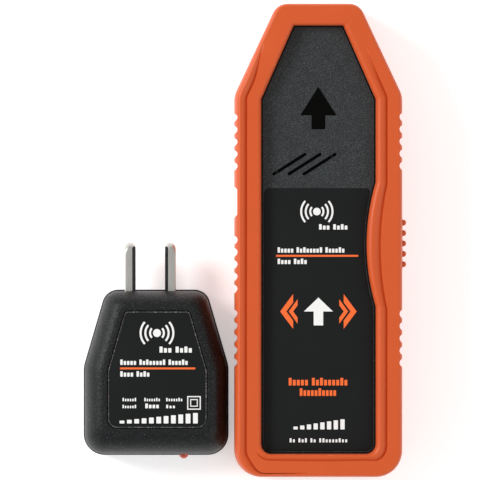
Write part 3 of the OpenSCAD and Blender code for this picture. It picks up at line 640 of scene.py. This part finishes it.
def make_boot():
    """The rubber boot, lofted round its outline, with the openings for the button and the door."""
    outer = outline(BOOT_CORNERS, BOOT_EDGES)
    inner = swollen(outline(PANEL_CORNERS, BOOT_EDGES))
    columns = []
    for o, i in zip(outer, inner):
        across = (i - o).normalized()
        straight = abs(o.x) > half_w - 0.01
        deepest = notch_inset(1 if o.x > 0 else -1, o.y) if straight else 0.0
        column = []
        for d, z in boot_section(o, i):
            p = o + across * max(d, deepest)
            column.append((p.x, p.y, z))
        columns.append(column)
    rings = [list(ring) for ring in zip(*columns)]
    boot = loft("boot_shell", rings, RECEIVER, closed=True, angle=32)
    cut(boot, button_window("window_tool", 0.25))
    door_low, door_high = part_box("battery_door")
    door_gap = 0.2
    half = (door_high.x - door_low.x) / 2 / MM + door_gap
    outside_y, inside_y = -half_l - 1, -half_l + 4
    slot = [(half, outside_y), (half, inside_y), (-half, inside_y), (-half, outside_y)]
    cut(boot, loft("slot_tool", [level(slot, z) for z in (-1, door_high.z / MM + 0.6)], RECEIVER))
    return finish_piece(boot, "receiver", "orange_rubber", ["receiver_boot"])


# ---- Receiver: side button ----

button_y = (button_low.y + button_high.y) / 2 / MM
button_z = (button_low.z + button_high.z) / 2 / MM
pad_half_l = 8.6
pad_half_h = 5
pad_r = 2.4


def sideways(points, x):
    """An outline drawn in Y and Z, stood up at x."""
    return [(x, p[0], p[1]) for p in points]


def pad_outline(grow):
    """The button's outline in Y and Z, grown by grow."""
    along, up, r = pad_half_l + grow, pad_half_h + grow, pad_r + grow
    corners = [(along, -up, r), (along, up, r), (-along, up, r), (-along, -up, r)]
    return [Vector((p.x + button_y, p.y + button_z)) for p in outline(corners, [6, 4, 6, 4], 8)]


def button_window(name, gap):
    """The opening in the boot, flared where it meets the outside."""
    steps = [(half_w - 5, gap), (half_w - 0.5, gap), (half_w - 0.2, gap + 0.08), (half_w, gap + 0.3),
             (half_w + 1, gap + 1.3)]
    return loft(name, [sideways(pad_outline(g), x) for x, g in steps], RECEIVER)


def make_button():
    """The button: a pad nearly flush with the boot, and five rounded ribs that stand out of it."""
    rib_r = 0.95
    pitch = 3.3
    rib_half = 3.6
    pad_soft = 0.5
    pad_proud = 0.1
    rib_x = (button_high.x - RECEIVER.x) / MM - rib_r
    pad_x = half_w + pad_proud
    inner_x = (button_low.x - RECEIVER.x) / MM
    rings = [sideways(pad_outline(0), inner_x)]
    for k in range(7):
        a = math.pi / 2 * k / 6
        grow = -pad_soft * (1 - math.cos(a))
        rings.append(sideways(pad_outline(grow), pad_x - pad_soft * (1 - math.sin(a))))
    pieces = [loft("pad", rings, RECEIVER)]
    for i in range(-2, 3):
        profile = []
        for k in range(9):
            a = math.pi / 2 * k / 8
            profile.append((rib_r * math.sin(a), -rib_half - rib_r * math.cos(a)))
        profile += [(r, -h) for r, h in reversed(profile)]
        place = RECEIVER + Vector((rib_x, button_y + i * pitch, button_z)) * MM
        pieces.append(lathe("rib", profile, place, (0, 0, 1), 32))
    return finish_piece(joined("side_button", pieces), "button", "orange_rubber", ["power_button"])


# ---- Receiver: label, gauze and printing ----

LABEL_EDGES = [60, 4, 30, 4]
label_corners = inset([(panel_half_w, -67.5, 3.2), (panel_half_w, 17.3, 2.9), (-panel_half_w, 17.3, 2.9),
                       (-panel_half_w, -67.5, 3.2)], 0.9)
label_top = label_high.z / MM
print_t = 0.035


def make_label():
    """The receiver's film label, which gives way to the swelling of the boot."""
    label = plate("receiver_film", label_corners, label_low.z / MM + 0.05, label_top, RECEIVER, 0.12, 8,
                  LABEL_EDGES, swollen)
    return finish_piece(label, "receiver", "label_film", ["receiver_label"])


def make_gauze():
    """Black cloth under the sound slots."""
    left, right, bottom, top = -16.5, 8, 18, 30
    corner_r = 1
    cloth_t = 0.25
    low = panel_z - 2.75
    corners = [(x, y, corner_r) for x, y in ((right, bottom), (right, top), (left, top), (left, bottom))]
    gauze = plate("slot_gauze", corners, low, low + cloth_t, RECEIVER, 0.1)
    return finish_piece(gauze, "receiver", "foam", paint=CLOTH)


class Print:
    """Flat printed shapes that lie on one film and make one piece.

    All sizes are in millimetres from origin. For bars and lines of words x and y are the lower left
    corner, and for arcs, signs and squares they are the middle.
    """

    def __init__(self, name, origin, top, paint, body):
        self.name, self.origin, self.top, self.paint, self.body = name, origin, top, paint, body
        self.shapes = []

    def shape(self, points):
        """One flat shape with this outline."""
        rings = [level(points, self.top - 0.02), level(points, self.top + print_t)]
        self.shapes.append(loft("shape", rings, self.origin))

    def bar(self, x, y, w, h, r=0.25):
        """A bar with rounded corners."""
        corners = [(x + w, y, r), (x + w, y + h, r), (x, y + h, r), (x, y, r)]
        self.shape(outline(corners, [1] * 4, 4))

    def words(self, x, y, w, h, counts, bold=0.72):
        """A line w wide that stands for words: each word is a run of small blocks, and says nothing."""
        step = w / (sum(counts) + len(counts) * 0.7 - 0.7)
        for word, count in enumerate(counts):
            for k in range(count):
                tall = 1 if k == 0 or (k * 2 + word) % 5 == 0 else 0.74
                self.bar(x, y, step * bold, h * tall, 0.12)
                x += step
            x += step * 0.7

    def arc(self, x, y, r, thick, start, end):
        """A band of an arc between two angles, in degrees."""
        steps = 20
        turn = [math.radians(mix(start, end, k / steps)) for k in range(steps + 1)]
        far, near = r + thick / 2, r - thick / 2
        points = [(x + far * math.cos(a), y + far * math.sin(a)) for a in turn]
        points += [(x + near * math.cos(a), y + near * math.sin(a)) for a in reversed(turn)]
        self.shape(points)

    def signal(self, x, y, size):
        """A dot with rising arcs on both sides: a plain sign for a signal."""
        self.arc(x, y, size * 0.055, size * 0.11, 0, 359)
        for k in range(1, 4):
            for middle in (0, 180):
                self.arc(x, y, size * 0.13 * k + size * 0.06, size * 0.055, middle - 42, middle + 42)

    def strength(self, x, y, count, pitch, w, low, high):
        """A row of upright bars that grow, as on a signal meter."""
        for k in range(count):
            self.bar(x + k * pitch, y, w, mix(low, high, k / (count - 1)), 0.15)

    def square(self, x, y, half, thick):
        """A square ring."""
        for turn in range(4):
            a = math.pi / 2 * turn
            box = [(half - thick, -half), (half, -half), (half, half - thick), (half - thick, half - thick)]
            self.shape([(x + px * math.cos(a) - py * math.sin(a), y + px * math.sin(a) + py * math.cos(a))
                        for px, py in box])

    def made(self, slot):
        """The one piece that all the shapes make."""
        return finish_piece(joined(self.name, self.shapes), self.body, slot, paint=self.paint)


def chevron(ink, tip_x, arm_x, middle_y, half_h, thick):
    """A pointing bracket of even width whose tip is at tip_x."""
    side = 1 if arm_x > tip_x else -1
    end = half_h * (1 - thick / abs(arm_x - tip_x))
    ink.shape([(tip_x, middle_y), (arm_x, middle_y - half_h), (arm_x, middle_y - end),
               (tip_x + side * thick, middle_y), (arm_x, middle_y + end), (arm_x, middle_y + half_h)])


def print_receiver():
    """Signs and blank lines on the receiver's label."""
    white = Print("receiver_print_white", RECEIVER, label_top, WHITE_INK, "receiver")
    orange = Print("receiver_print_orange", RECEIVER, label_top, ORANGE_INK, "receiver")
    white.signal(-0.5, 9.1, 11)
    white.words(0.2, 3.4, 9.3, 1.7, [3, 4])
    white.words(-12.9, -3.9, 21.4, 1.7, [5, 8, 6])
    orange.bar(-13.4, -5.2, 26.0, 0.6, 0.1)
    white.words(-12.9, -7.5, 9.5, 1.7, [4, 4])
    middle_y = -22.5
    for side in (-1, 1):
        chevron(orange, side * 12.1, side * 8.0, middle_y, 5.5, 1.95)
        chevron(orange, side * 9.4, side * 6.6, middle_y, 3.85, 1.4)
    head, half, stem = 4.4, 4.6, 1.5
    white.shape([(-stem, middle_y - head), (stem, middle_y - head), (stem, middle_y), (half, middle_y),
                 (0, middle_y + head), (-half, middle_y), (-stem, middle_y)])
    orange.words(-9.4, -45.9, 18.9, 2.4, [5, 9])
    orange.words(-5.9, -49.2, 11.8, 2.4, [10])
    white.strength(-7.9, -59.8, 8, 2.12, 1.35, 0.9, 3.2)
    white.words(-9.1, -63.9, 18.6, 1.3, [2, 3, 2, 9], 0.6)
    white.made("white_plastic")
    orange.made("orange_rubber")


# ---- Transmitter ----

SHELL_EDGES = [24, 20, 24, 20, 24, 24]
TONGUE_INSET = 1.0              # the front shell's tongue sits in a step of the rear shell's rim
TONGUE_H = 1.0


def between(outer, inner, s, z):
    """The outline a share s of the way from outer to inner, at level z."""
    return [(*o.lerp(i, s), z) for o, i in zip(outer, inner)]


def make_front_shell():
    """The pillowed front half, with the sunk face for the label and a tongue that closes the seam."""
    step = 0.4
    tongue = outline(inset(SHELL_CORNERS, TONGUE_INSET), SHELL_EDGES)
    outer = outline(inset(SHELL_CORNERS, step), SHELL_EDGES)
    inner = face_outline(0, SHELL_EDGES)
    upright_h = 2.5
    bow_from = split_z + upright_h
    rings = [level(tongue, split_z - TONGUE_H), level(tongue, split_z + 0.02)]
    for s, z in ((0.03, split_z + 0.02), (0.0, split_z + 0.3), (0.0, bow_from)):
        rings.append(between(outer, inner, s, z))
    for k in range(1, 25):
        a = math.pi / 2 * k / 24
        s = 0.9 * (1 - math.cos(a) ** 0.95)
        rings.append(between(outer, inner, s, bow_from + (shell_top - bow_from) * math.sin(a) ** 0.95))
    rings.append(between(outer, inner, 0.96, shell_top))
    for k in range(5):
        a = math.pi / 2 * k / 4
        s = 0.975 + 0.025 * math.sin(a)
        rings.append(between(outer, inner, s, shell_top - 0.2 * (1 - math.cos(a))))
    floor_z = shell_top - recess
    rings.append(between(outer, inner, 1.0, floor_z + 0.05))
    rings.append(level(face_outline(0.15, SHELL_EDGES), floor_z))
    shell = loft("front_cover", rings, TRANSMITTER)
    return finish_piece(shell, "transmitter", "black_plastic", ["transmitter_front_shell"])


def make_rear_shell():
    """The back half: it stands out a little round the front half."""
    edges = SHELL_EDGES
    top = back_high.z / MM
    steps = [(2.4, 0), (1.5, 0.15), (0.9, 0.5), (0.4, 1.1), (0.12, 1.9), (0, 3), (0, top - 0.35),
             (0.1, top - 0.08), (0.35, top)]
    rings = [level(outline(inset(SHELL_CORNERS, d), edges), z) for d, z in steps]
    step_inset = TONGUE_INSET - 0.1
    step_z = top - TONGUE_H - 0.2
    wall = 1.8
    floor_z = 6
    for d, z in ((step_inset, top), (step_inset, step_z), (wall, step_z), (wall, floor_z)):
        rings.append(level(outline(inset(SHELL_CORNERS, d), edges), z))
    shell = loft("rear_cover", rings, TRANSMITTER)
    well_r = 2.2
    well_mouth_r = 2.5
    well_h = 3.4
    well = [(0, -1), (well_mouth_r, -1), (well_r, 0.25), (well_r, well_h), (0, well_h)]
    for x, y in ((-17, 10), (17, 10), (0, 46.4)):
        place = TRANSMITTER + Vector((x, y, 0)) * MM
        cut(shell, lathe("well", well, place, (0, 0, 1)))
    return finish_piece(shell, "transmitter", "black_plastic", ["transmitter_rear_shell"])


front_label_top = front_label_high.z / MM


def make_front_label():
    """The label in its recess, and a pale line round it: a painted highlight where the rounded rim of the
    recess catches the light.
    """
    shift = TRANSMITTER + Vector((face_x, 0, 0)) * MM
    corners = inset(FACE_CORNERS, 0.2)
    label = plate("transmitter_film", corners, front_label_low.z / MM + 0.02, front_label_top, shift, 0.12)
    finish_piece(label, "transmitter", "label_film", ["transmitter_label"])
    outer = face_outline(0.35, [2] * 6)
    inner = face_outline(0.62, [2] * 6)
    line_low, line_top = front_label_top - 0.02, front_label_top + 0.08
    rings = [level(outer, line_low), level(outer, line_top), level(inner, line_top), level(inner, line_low)]
    border = loft("label_border", rings, TRANSMITTER, closed=True)
    finish_piece(border, "transmitter", "label_film", paint=RIM_HIGHLIGHT_PAINT)


def print_transmitter():
    """Signs and blank lines on the transmitter's label."""
    white = Print("transmitter_print_white", TRANSMITTER, front_label_top, WHITE_INK, "transmitter")
    orange = Print("transmitter_print_orange", TRANSMITTER, front_label_top, ORANGE_INK, "transmitter")
    white.signal(0.4, 38.9, 11.5)
    white.words(1.2, 32.7, 10.6, 1.9, [3, 4])
    white.words(-11.2, 28.8, 21.6, 1.7, [5, 8, 6])
    orange.bar(-11.3, 27.4, 23.8, 0.6, 0.1)
    white.words(-11.2, 25.1, 9.5, 1.7, [4, 4])
    white.words(-10.5, 17.3, 4.6, 1.1, [6], 0.6)
    white.words(-3.6, 17.3, 5.2, 1.1, [7], 0.6)
    white.words(3.3, 17.3, 5.4, 1.1, [7], 0.6)
    white.words(-10.5, 15.1, 4.6, 1.1, [6], 0.6)
    white.words(-3.3, 15.1, 4.6, 1.5, [4])
    white.words(3.3, 15.1, 3.2, 1.1, [3], 0.6)
    white.square(12.1, 16.8, 2.15, 0.35)
    white.square(12.1, 16.8, 1.2, 0.3)
    white.strength(-11.4, 10.3, 11, 2.32, 1.5, 0.9, 3.3)
    white.made("white_plastic")
    orange.made("orange_rubber")


def bar_piece(name, faces, ends, middle_z, half, side_r, top_r, soft):
    """A bar along Y with a tip rounded by side_r seen from the side and by top_r seen from above."""
    low_x, high_x = sorted(faces)
    root, tip = ends
    rings = []
    steps = 10
    for k in range(-steps, steps + 1):
        z = half * math.sin(math.pi / 2 * k / steps)
        past = max(abs(z) - (half - side_r), 0)
        drop = side_r - math.sqrt(side_r ** 2 - past ** 2)
        from_edge = max(abs(z) - (half - soft), 0)
        d = soft - math.sqrt(soft ** 2 - from_edge ** 2)
        r = min(top_r, (high_x - low_x) / 2 - d - 0.02)
        corners = [(high_x - d, root, 0.05), (high_x - d, tip - drop, r), (low_x + d, tip - drop, r),
                   (low_x + d, root, 0.05)]
        rings.append(level(outline(corners, [1] * 4, 12), middle_z + z))
    return loft(name, rings, TRANSMITTER)


def make_blades():
    """Two flat blades with soft edges, a hole near the tip and a dark strip set into the inner face, which
    is painted shade standing for the inner face in shadow.
    """
    strip_t = 1.1
    strip_end = 1.1
    strip_sunk = 0.08
    hole_r = 1.6
    hole_from_tip = 3.2
    tip_r = 2.6
    top_r = 1.7
    edge_soft = 0.3
    strips = []
    for side, name in ((-1, "left_blade"), (1, "right_blade")):
        low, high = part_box(name)
        half = (high.z - low.z) / 2 / MM
        tip = (high.y - TRANSMITTER.y) / MM
        root = (low.y - TRANSMITTER.y) / MM
        middle_z = (high.z + low.z) / 2 / MM
        left_x = (low.x - TRANSMITTER.x) / MM
        right_x = (high.x - TRANSMITTER.x) / MM
        inner = right_x if side < 0 else left_x
        blade_faces = (left_x, right_x)
        blade = bar_piece("plug_" + name, blade_faces, (root, tip), middle_z, half, tip_r, top_r, edge_soft)
        # The dark strip sits in a pocket of the inner face; it is painted shade, not a part of a real blade.
        ends = (shell_l - 2.5, tip - strip_end)
        pocket_faces = (inner - side, inner + side * strip_t)
        cut(blade, bar_piece("pocket", pocket_faces, ends, middle_z, half + 1, 0.1, 0.9, 0.1))
        strip_faces = (inner + side * strip_sunk, inner + side * (strip_t + 0.02))
        strip = bar_piece("strip", strip_faces, ends, middle_z, half - 0.12, 2.2, 0.5, 0.15)
        place = TRANSMITTER + Vector((left_x - 1, tip - hole_from_tip, middle_z)) * MM
        for piece in (blade, strip):
            cut(piece, lathe("hole", [(0, 0), (hole_r, 0), (hole_r, 6), (0, 6)], place, (1, 0, 0)))
        finish_piece(blade, "transmitter", "blade_metal", [name])
        strips.append(strip)
    # The strips stand for the blades' shaded inner faces: painted shade.
    painted_shade_strips = joined("blade_strips", strips)
    finish_piece(painted_shade_strips, "transmitter", "black_plastic", ["blade_inlays"], paint=BLADE_SHADE_PAINT)


def make_lamp():
    """The status lamp's dome, standing out of the tail."""
    r = 1.5
    flange_r = r + 0.4
    profile = [(0, 5), (flange_r, 5), (flange_r, 3.6), (r, 3.4)]
    profile += [(r * math.cos(math.pi / 2 * k / 10), -r * math.sin(math.pi / 2 * k / 10)) for k in range(11)]
    place = Vector((lamp_low.x / 2 + lamp_high.x / 2, lamp_low.y + r * MM, split_z * MM))
    lamp = lathe("status_lamp", profile, place, (0, 1, 0))
    return finish_piece(lamp, "transmitter", "red_lens", ["signal_led"])


# ---- Camera, light and floor ----

def make_camera():
    """Straight above the pair, and so far off that upright sides are hardly seen."""
    px_per_mm = 3.152
    image = 480
    aim_x, aim_y, aim_z = -1.55 * MM, 0.1 * MM, 17 * MM
    distance = 2.5
    data = bpy.data.cameras.new("camera")
    data.sensor_width = 36
    data.lens = data.sensor_width * distance / (image / px_per_mm * MM)
    data.clip_start = 0.01
    camera = bpy.data.objects.new("camera", data)
    camera.location = (aim_x, aim_y, aim_z + distance)
    bpy.context.scene.collection.objects.link(camera)
    bpy.context.scene.camera = camera


def area_light(name, place, size, power):
    """A round soft light that points at the middle of the scene."""
    data = bpy.data.lights.new(name, "AREA")
    data.shape = "DISK"
    data.size = size
    data.energy = power
    light = bpy.data.objects.new(name, data)
    light.location = place
    light.rotation_euler = (-Vector(place)).to_track_quat("-Z", "Y").to_euler()
    bpy.context.scene.collection.objects.link(light)


def bowl_mesh():
    """A floor that is flat under the object and curves up far away, as a studio backdrop does."""
    steps = 72
    flat_r = 12.0
    rise_r = 8.0
    profile = []
    for k in range(12, 0, -1):
        a = math.pi / 2 * k / 12
        profile.append((flat_r + rise_r * math.sin(a), rise_r * (1 - math.cos(a))))
    profile += [(flat_r, 0), (flat_r / 3, 0), (flat_r / 10, 0)]
    points = []
    for r, z in profile:
        points += [(r * math.cos(2 * math.pi * i / steps), r * math.sin(2 * math.pi * i / steps), z)
                   for i in range(steps)]
    faces = loft_faces(steps, len(profile), False)
    faces.append(tuple(range(len(points) - steps, len(points))))
    mesh = bpy.data.meshes.new("floor")
    mesh.from_pydata(points, [], faces)
    mesh.shade_smooth()
    return mesh


def make_studio():
    """White surroundings, a key light, a weaker fill and the floor."""
    surround_strength = 0.55
    floor_glow = 0.42
    floor_drop = 0.2 * MM
    world = bpy.data.worlds.new("studio")
    world.use_nodes = True
    world.node_tree.nodes["Background"].inputs["Color"].default_value = (1, 1, 1, 1)
    world.node_tree.nodes["Background"].inputs["Strength"].default_value = surround_strength
    bpy.context.scene.world = world
    bpy.context.scene.view_settings.view_transform = "Standard"
    area_light("key", (-1.0, 0.45, 0.95), 0.6, 15)
    area_light("fill", (0.95, -0.5, 1.0), 0.9, 4)
    floor = new_object("floor", bowl_mesh())
    floor.location.z = -floor_drop
    paint = Paint("floor_paint")
    soft = paint.noise(60, 2)
    paint.color(paint.blend(soft, (0.86, 0.86, 0.86), (0.88, 0.88, 0.88)))
    paint.roughness(soft, 0.7, 0.8)
    paint.shader.inputs["Emission Color"].default_value = (1, 1, 1, 1)
    paint.shader.inputs["Emission Strength"].default_value = floor_glow
    floor.data.materials.append(paint.material)


# ---- The whole scene ----

paint_cad_nodes()
make_boot()
make_button()
make_label()
make_gauze()
print_receiver()
make_front_shell()
make_rear_shell()
make_front_label()
print_transmitter()
make_blades()
make_lamp()
make_camera()
make_studio()
